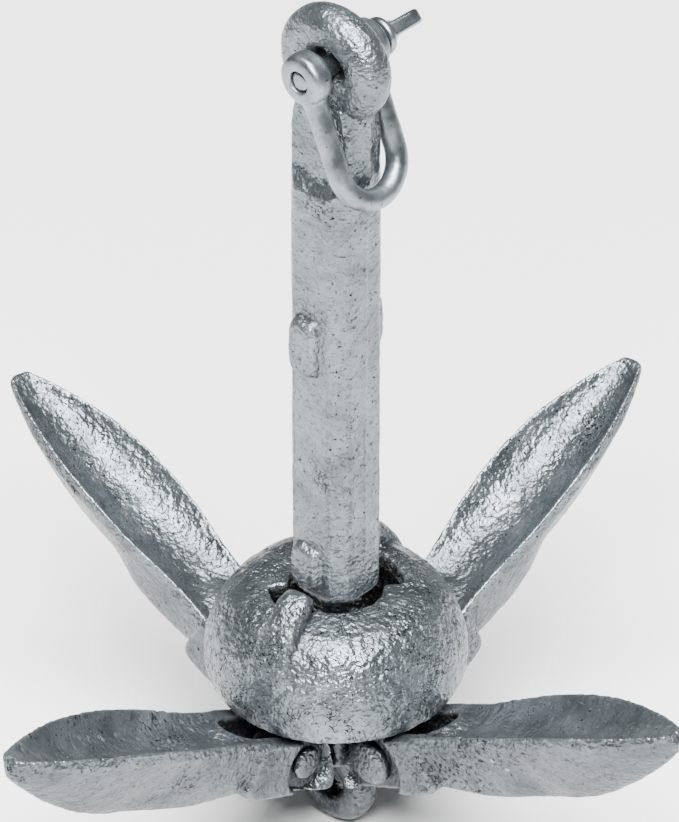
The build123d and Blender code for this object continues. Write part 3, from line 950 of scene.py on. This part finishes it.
def finger_shell(degrees):
    """Curved finger: a rounded bar along a path in a plane through the axis, thinning to its tip."""
    rows = smooth_path(FINGER_ROWS, 70)
    path = np.stack([rows[:, 0], 0 * rows[:, 0], rows[:, 1] + HINGE_Z], axis=-1)
    grid = swept(path, (0, 1, 0), np.clip(rows[:, 2], 0.1, None), np.clip(rows[:, 3], 0.1, None), 0.75)
    return capped(turn_about_z(grid, degrees))


def build_collar(shape, finish):
    """Collar casting with its two fingers, the roughest of the castings."""
    shells = [bell_shell()] + [finger_shell(centre) for centre in FINGER_CENTRES]
    points, normals, faces = weld(shells, COLLAR_DETAIL * shape.casting_voxel, 3)
    points = zinc_coat(points, normals, shape.lumpiness / MM, 31, rough=1.7)
    material = galvanised("galvanised_collar", finish, crack=0.85, patch=0.58, peel=0.66, seed=2)
    # Painted shade: surfaces inside the bell, below its top and a few millimetres in from its outside, are
    # darkened.
    height = points[:, 2] - HINGE_Z
    reach = np.hypot(points[:, 0], points[:, 1])
    shell_reach = np.interp(height, [row[1] for row in BELL_OUTSIDE], [row[0] for row in BELL_OUTSIDE])
    painted_shade = 0.98 * ease(BELL_TOP - 0.6, BELL_TOP - 2.2, height) * ease(-1.6, -3.0, reach - shell_reach)
    add_piece("collar_casting", points, faces, "collar", ["locking_collar"], material,
              painted_shade)


# ---------------------------------------------------------------- flukes
def palm_shell():
    """Spoon of the fluke: at each distance from the pin the section drops from the rim down a short
    upright band, slants in to a rounded keel and back up, and dips through a dish between the rims. Near
    the pin the flanks are steeper, so that the section is closer to a box. Its first sections are pulled
    out to a hollow half circle, which is the closed end of the fork's slot."""
    rows = smooth_rows(FLUKE_ROWS, 260)
    along, half, rim, keel, dish = [column[:, None] for column in np.clip(rows, [0, 0.02, -9, -99, 0], 999).T]
    keel = np.minimum(keel, rim - 0.02)
    band = np.clip(0.22 * (rim - keel), 0, 3.4)
    turn = np.linspace(-1, 1, 120)[None, :]
    away = np.abs(turn)
    flank = np.clip(away / 0.8, 0, 1)
    boxy = ease(62.0, 30.0, along)
    tuck = 1 - 0.05 * ease(0.8, 1.0, away) * (rim > 0.5)
    belly_y = half * np.sign(turn) * (flank ** (0.92 - 0.3 * boxy)) * tuck
    climb = flank ** (1.2 + 3.2 * boxy)
    belly_z = keel + (rim - band - keel) * climb + band * np.clip((away - 0.8) / 0.2, 0, 1)
    across = np.linspace(1, -1, 81)[1:-1][None, :]
    lip = np.clip(0.955 * half - 0.6, 0.01, None)
    dish_y = lip * across
    dish_z = rim - dish * (1 - np.abs(across) ** 2.4)
    y = np.concatenate([belly_y, dish_y], axis=1)
    z = np.concatenate([belly_z, dish_z], axis=1)
    grid = np.stack([along + 0 * y, y, z], axis=-1)
    centre = grid[:1].mean(axis=1, keepdims=True)
    share = np.linspace(0.02, 0.98, 24)[:, None, None]
    grid = np.concatenate([centre + share * (grid[:1] - centre), grid])
    hollow = np.sqrt(np.clip(FORK_HALF ** 2 - grid[..., 1] ** 2, 0, None))
    grid[..., 0] += hollow * (1 - ease(SLOT_START, SLOT_START + 14, grid[..., 0]))
    return capped(grid)


def prong_shell(way, recess):
    """Prong of the fork: a plate whose flat end meets the cross head when open, with a heel further out;
    its outer face sinks with a soft wall into a round recess about the pin."""
    angle = np.linspace(0, math.tau, 180, endpoint=False)
    facing = np.radians([0.0, 90.0, 180.0 - FLUKE_TILTS[3], 264.6])
    reach = soft_polygon(angle, facing, np.array(PRONG_REACH), 7.0)
    outline = reach[:, None] * np.stack([np.cos(angle), np.sin(angle)], axis=-1)
    grid = plate(outline, PRONG_HOLE, FORK_HALF, PRONG_OUTER, PRONG_EDGE)
    from_pin = np.hypot(grid[..., 0], grid[..., 2])
    floor = PRONG_OUTER - RECESS_DEPTH * (1 - ease(recess - 1.0, recess + 1.4, from_pin))
    grid[..., 1] = np.minimum(grid[..., 1], floor)
    grid[..., 1] *= way
    return looped(grid)


def build_flukes(shape, finish):
    """The four flukes: one welded form, with an uneven coat and material of its own on each."""
    shells = [palm_shell(), prong_shell(1, TAIL_RECESS), prong_shell(-1, HEAD_RECESS)]
    points, normals, faces = weld(shells, shape.casting_voxel, 4)
    # Painted shade: darkened are the inside of the fork's slot near the root and the floors of the pin
    # recesses.
    sideways = np.abs(points[:, 1])
    inside_fork = ease(FORK_HALF + 0.9, FORK_HALF + 0.1, sideways)
    painted_shade = 0.95 * inside_fork * ease(31.0, 26.0, points[:, 0]) * ease(6.6, 5.0, points[:, 2])
    sunk = ease(PRONG_OUTER - 1.0, PRONG_OUTER - RECESS_DEPTH + 0.5, sideways) * (sideways > FORK_HALF + 0.5)
    painted_shade = np.maximum(painted_shade, 0.75 * sunk * ease(15.0, 12.5, points[:, 0]))
    # Painted shade on the undersides: faces turned downwards below the rim are darkened.
    painted_shade = np.maximum(painted_shade, 0.5 * ease(0.5, -0.2, normals[:, 2]) * ease(7.0, 4.0, points[:, 2]))
    for side in range(4):
        coated = zinc_coat(points, normals, shape.lumpiness / MM, 51 + 7 * side)
        fluke = f"fluke_{side + 1}"
        material = galvanised(f"galvanised_{fluke}", finish, crack=0.3, patch=0.58, peel=0.5, seed=3 + side)
        add_piece(f"fluke_casting_{side + 1}", at_hinge(coated, side), faces, fluke, [fluke], material,
                  painted_shade)


def build_fluke_pins(shape, finish):
    """The four rivet pins: a turned profile with a low domed head and a smaller hammered tail."""
    seat = PRONG_OUTER - RECESS_DEPTH
    head = [(0.05, 2.95), (2.5, 2.93), (4.6, 2.75), (6.1, 2.3), (6.8, 1.5), (6.9, 0.7), (6.6, 0.1)]
    tail = [(4.5, 0.1), (4.8, 0.8), (4.3, 1.7), (2.8, 2.1), (0.05, 2.2)]
    profile = [(radius, -seat - rise) for radius, rise in head]
    profile += [(RIVET_SHAFT, -seat - 0.05), (RIVET_SHAFT, seat + 0.05)]
    profile += [(radius, seat + rise) for radius, rise in tail]
    points, normals, faces = weld([capped(turned(profile))], RIVET_DETAIL * shape.forging_voxel, 2)
    material = galvanised("galvanised_rivet", finish, crack=0.2, patch=0.6, peel=0.6, seed=9)
    # Painted shade: the whole pin a little darker, and the rim of its head darker still.
    painted_shade = 0.35 + 0.4 * ease(5.6, 6.8, np.hypot(points[:, 0], points[:, 2]))
    for side in range(4):
        coated = zinc_coat(points, normals, 0.5 * shape.lumpiness / MM, 91 + side)
        add_piece(f"fluke_rivet_{side + 1}", at_hinge(coated, side), faces, f"fluke_{side + 1}",
                  [f"fluke_pin_{side + 1}"], material, painted_shade)


# ---------------------------------------------------------------- shackle
def hang(points):
    """From the shackle drawn straight down from its pin to its leaning place against the bar."""
    return tilt_about_y(points, SHACKLE_LEAN)


def build_shackle(shape, finish):
    """Shackle bow: round wire along two legs and a half circle, with a flat-faced ear at each end."""
    leg = np.linspace(-4.0, -BOW_STRAIGHT, 60)
    bend = np.linspace(math.pi, math.tau, 120)[1:-1]
    path_y = np.r_[np.full(60, -BOW_RADIUS), BOW_RADIUS * np.cos(bend), np.full(60, BOW_RADIUS)]
    path_z = np.r_[leg, -BOW_STRAIGHT + BOW_RADIUS * np.sin(bend), leg[::-1]]
    path = np.stack([0 * path_y, path_y, path_z], axis=-1)
    near_ear = np.exp(-((path_z + 6.0) / 3.0) ** 2)
    radius = BOW_WIRE + 0.5 * near_ear
    shells = [capped(swept(path, (1, 0, 0), radius, radius))]
    ear = [(EAR_HOLE, -EAR_HALF), (5.2, -EAR_HALF), (6.3, -EAR_HALF + 0.3), (7.0, -EAR_HALF + 1.0)]
    ear.append((EAR_RADIUS, -1.5))
    ear += [(radius, -along) for radius, along in reversed(ear)]
    for way in (1, -1):
        shells.append(looped(turned(ear, (0, way * EAR_CENTRE, 0))))
    points, normals, faces = weld(shells, shape.forging_voxel, 6)
    points = zinc_coat(points, normals, 0.35 * shape.lumpiness / MM, 71)
    material = plated_steel("zinc_shackle", finish, 0.26, 0.44, 8)
    add_piece("shackle_forging", hang(points), faces, "shackle", ["shackle_bow"], material)


def build_shackle_pin(shape, finish):
    """Screw pin: turned shaft and shoulder, and a flat tab with a hole."""
    ear_face = EAR_CENTRE + EAR_HALF + 0.05
    seat = ear_face + SHOULDER_GAP
    end = [(0.05, 0.5), (1.9, 0.5), (2.6, 0.8), (PIN_SHAFT, 1.3)]
    shoulder = [(PIN_SHAFT, 0.0), (4.9, 0.05), (5.4, 0.6), (5.4, 1.7), (4.9, 2.3), (0.05, 2.45)]
    neck = [(0.05, 1.5), (4.8, 1.6), (4.0, 2.8), (3.2, 4.2), (2.7, 5.6), (2.2, 6.8), (1.4, 7.6), (0.05, 7.8)]
    profile = [(radius, -ear_face + rise) for radius, rise in end]
    profile += [(radius, seat + rise) for radius, rise in shoulder]
    root = [(radius, seat + rise) for radius, rise in neck]
    centre = seat + 2.5 + TAB_LENGTH - 4.8
    outline = stadium((-centre + seat + 2.0, 0.0), TAB_ROOT_HALF, (0.0, 0.0), TAB_HALF)
    tab = plate(outline, TAB_HOLE, -TAB_THICK_HALF, TAB_THICK_HALF, TAB_EDGE)
    flat = np.stack([tab[..., 2], centre + tab[..., 0], tab[..., 1]], axis=-1)
    shells = [capped(turned(profile)), capped(turned(root)), looped(tilt_about_y(flat, TAB_TURN))]
    points, normals, faces = weld(shells, shape.forging_voxel, 3)
    points = zinc_coat(points, normals, 0.25 * shape.lumpiness / MM, 81)
    material = plated_steel("zinc_screw_pin", finish, 0.18, 0.32, 9)
    add_piece("shackle_screw_pin", hang(points), faces, "shackle_pin", ["shackle_pin"], material)


# ---------------------------------------------------------------- stage
def stage_material():
    """Plain pale floor."""
    material = bpy.data.materials.new("pale_floor")
    material.use_nodes = True
    nodes = material.node_tree.nodes
    nodes.clear()

    surface = nodes.new("ShaderNodeBsdfPrincipled")
    surface.label = "Matt floor"
    result = nodes.new("ShaderNodeOutputMaterial")
    result.label = "Floor"

    group = nodes.new("NodeFrame")
    group.label = "Result"
    for column, node in enumerate((surface, result)):
        node.parent = group
        node.location = (COLUMN_STEP * column, 0)

    surface.inputs["Base Color"].default_value = (0.93, 0.93, 0.93, 1.0)
    surface.inputs["Roughness"].default_value = 0.9

    material.node_tree.links.new(surface.outputs["BSDF"], result.inputs["Surface"])
    return material


def add_lamp(name, place, target, size, power):
    """Rectangular soft light at a place, facing a target."""
    light = bpy.data.lights.new(name, "AREA")
    light.shape = "RECTANGLE"
    light.size, light.size_y = size
    light.energy = power
    lamp = bpy.data.objects.new(name, light)
    lamp.location = place
    lamp.rotation_euler = (Vector(target) - Vector(place)).to_track_quat("-Z", "Y").to_euler()
    bpy.context.scene.collection.objects.link(lamp)


def build_stage(shape):
    """Floor, sky, lamps and camera."""
    floor_z = CAD_BOX[0][2] - FLOOR_GAP
    mesh = bpy.data.meshes.new("floor")
    ways = ((-1, -1), (1, -1), (1, 1), (-1, 1))
    corners = [(FLOOR_HALF * x, FLOOR_HALF * y, floor_z) for x, y in ways]
    mesh.from_pydata(corners, [], [(0, 1, 2, 3)])
    floor = bpy.data.objects.new("floor", mesh)
    bpy.context.scene.collection.objects.link(floor)
    floor.data.materials.append(stage_material())

    world = bpy.data.worlds.new("studio")
    bpy.context.scene.world = world
    world.use_nodes = True
    sky = world.node_tree.nodes["Background"]
    sky.inputs["Color"].default_value = SKY_COLOUR
    sky.inputs["Strength"].default_value = SKY_STRENGTH

    hinge = Vector((0, 0, HINGE_Z * MM))
    azimuth = math.radians(CAMERA_AZIMUTH)
    elevation = math.radians(CAMERA_ELEVATION)
    front = Vector((math.cos(azimuth), math.sin(azimuth), 0))
    right = Vector((-math.sin(azimuth), math.cos(azimuth), 0))
    out = front * math.cos(elevation) + Vector((0, 0, math.sin(elevation)))
    middle = hinge + Vector((0, 0, AIM_RISE)) + right * AIM_RIGHT
    camera_data = bpy.data.cameras.new("camera")
    camera_data.lens = CAMERA_LENS
    camera_data.sensor_width = 36.0
    camera_data.clip_end = 50.0
    camera = bpy.data.objects.new("camera", camera_data)
    camera.location = hinge + out * shape.camera_distance
    camera.rotation_euler = (middle - camera.location).to_track_quat("-Z", "Y").to_euler()
    bpy.context.scene.collection.objects.link(camera)
    bpy.context.scene.camera = camera

    for name, ahead, above, size, power in LAMPS:
        add_lamp(name, hinge + front * ahead + Vector((0, 0, above)), middle, size, power)


# ---------------------------------------------------------------- operators
class ANCHOR_OT_stage(bpy.types.Operator):
    """Add the floor, the lamps and the camera"""

    bl_idname = "anchor.stage"
    bl_label = "Stage"

    def execute(self, context):
        build_stage(context.scene.anchor_shape)
        return {"FINISHED"}


class ANCHOR_OT_shank(bpy.types.Operator):
    """Add the shank casting with both eyes"""

    bl_idname = "anchor.shank"
    bl_label = "Shank"

    def execute(self, context):
        build_shank(context.scene.anchor_shape, context.scene.anchor_finish)
        return {"FINISHED"}


class ANCHOR_OT_collar(bpy.types.Operator):
    """Add the sliding collar"""

    bl_idname = "anchor.collar"
    bl_label = "Collar"

    def execute(self, context):
        build_collar(context.scene.anchor_shape, context.scene.anchor_finish)
        return {"FINISHED"}


class ANCHOR_OT_flukes(bpy.types.Operator):
    """Add the four flukes"""

    bl_idname = "anchor.flukes"
    bl_label = "Flukes"

    def execute(self, context):
        build_flukes(context.scene.anchor_shape, context.scene.anchor_finish)
        return {"FINISHED"}


class ANCHOR_OT_fluke_pins(bpy.types.Operator):
    """Add the four fluke pins"""

    bl_idname = "anchor.fluke_pins"
    bl_label = "Fluke pins"

    def execute(self, context):
        build_fluke_pins(context.scene.anchor_shape, context.scene.anchor_finish)
        return {"FINISHED"}


class ANCHOR_OT_shackle(bpy.types.Operator):
    """Add the shackle's bow"""

    bl_idname = "anchor.shackle"
    bl_label = "Shackle"

    def execute(self, context):
        build_shackle(context.scene.anchor_shape, context.scene.anchor_finish)
        return {"FINISHED"}


class ANCHOR_OT_shackle_pin(bpy.types.Operator):
    """Add the shackle's screw pin"""

    bl_idname = "anchor.shackle_pin"
    bl_label = "Shackle pin"

    def execute(self, context):
        build_shackle_pin(context.scene.anchor_shape, context.scene.anchor_finish)
        return {"FINISHED"}


OPERATORS = (
    ANCHOR_OT_stage,
    ANCHOR_OT_shank,
    ANCHOR_OT_collar,
    ANCHOR_OT_flukes,
    ANCHOR_OT_fluke_pins,
    ANCHOR_OT_shackle,
    ANCHOR_OT_shackle_pin,
)


class ANCHOR_PT_parts(bpy.types.Panel):
    """Parts of the anchor and their sizes"""

    bl_idname = "ANCHOR_PT_parts"
    bl_label = "Folding anchor"
    bl_space_type = "VIEW_3D"
    bl_region_type = "UI"
    bl_category = "Anchor"

    def draw(self, context):
        layout = self.layout
        for name in ("casting_voxel", "forging_voxel", "lumpiness", "camera_distance"):
            layout.prop(context.scene.anchor_shape, name)
        for name in ("zinc_light", "zinc_dark", "stain_and_shade", "plated"):
            layout.prop(context.scene.anchor_finish, name)
        for operator in OPERATORS:
            layout.operator(operator.bl_idname)


CLASSES = (AnchorShape, AnchorFinish) + OPERATORS + (ANCHOR_PT_parts,)


def register():
    """Registers the classes and hangs the settings on the scene."""
    for entry in CLASSES:
        bpy.utils.register_class(entry)
    bpy.types.Scene.anchor_shape = bpy.props.PointerProperty(type=AnchorShape)
    bpy.types.Scene.anchor_finish = bpy.props.PointerProperty(type=AnchorFinish)


def unregister():
    """Takes the settings and the classes away again."""
    del bpy.types.Scene.anchor_finish
    del bpy.types.Scene.anchor_shape
    for entry in reversed(CLASSES):
        bpy.utils.unregister_class(entry)


def main():
    """Builds the stage and every piece."""
    register()
    bpy.ops.anchor.stage()
    bpy.ops.anchor.shank()
    bpy.ops.anchor.collar()
    bpy.ops.anchor.flukes()
    bpy.ops.anchor.fluke_pins()
    bpy.ops.anchor.shackle()
    bpy.ops.anchor.shackle_pin()


if __name__ == "__main__":
    main()
